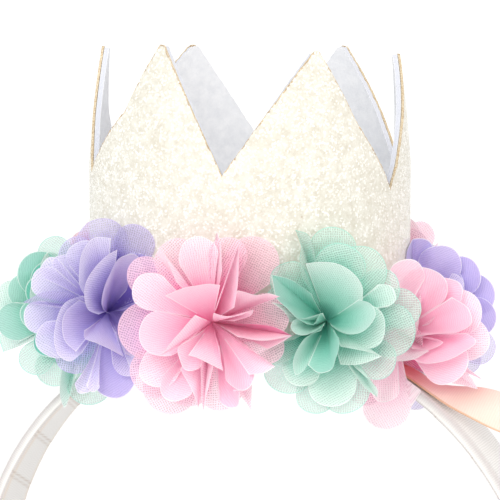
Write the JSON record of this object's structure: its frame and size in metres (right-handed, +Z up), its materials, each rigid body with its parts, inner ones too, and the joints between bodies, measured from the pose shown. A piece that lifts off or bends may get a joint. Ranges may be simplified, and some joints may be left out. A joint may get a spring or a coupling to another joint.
{
  "type": "mini crown headband",
  "caption": "Small six-peaked glitter crown lined with felt, ringed by folded chiffon flowers, standing on a satin headband with a bare ribbon label.",
  "frame": {"origin": "on the floor midway between the two leg ends, under the arch", "axes": "+Z up towards the crown, -Y towards the front, +X towards the right, where the label is"},
  "size_m": [0.1379, 0.1136, 0.1877],
  "materials": {
    "satin_white": "white satin ribbon wound round the band, with fine ribs across it",
    "felt_white": "white felt, matt, slightly bluish",
    "glitter_ivory": "ivory glitter fabric with a grainy sparkle and tan cut edges",
    "satin_cream": "cream satin ribbon with a soft sheen",
    "chiffon_mint": "mint chiffon, sheer where one layer lies alone",
    "chiffon_lavender": "lavender chiffon, sheer where one layer lies alone",
    "chiffon_pink": "pink chiffon, sheer where one layer lies alone"
  },
  "bodies": {
    "root": {"headband": "satin_white", "crown_base": "felt_white", "crown_shell": "glitter_ivory", "crown_lining": "felt_white", "label": "satin_cream", "flower_1": "chiffon_mint", "flower_2": "chiffon_lavender", "flower_3": "chiffon_pink", "flower_4": "chiffon_mint", "flower_5": "chiffon_pink", "flower_6": "chiffon_lavender", "flower_7": "chiffon_pink", "flower_8": "chiffon_mint", "flower_9": "chiffon_lavender", "flower_10": "chiffon_pink"}
  },
  "joints": []
}
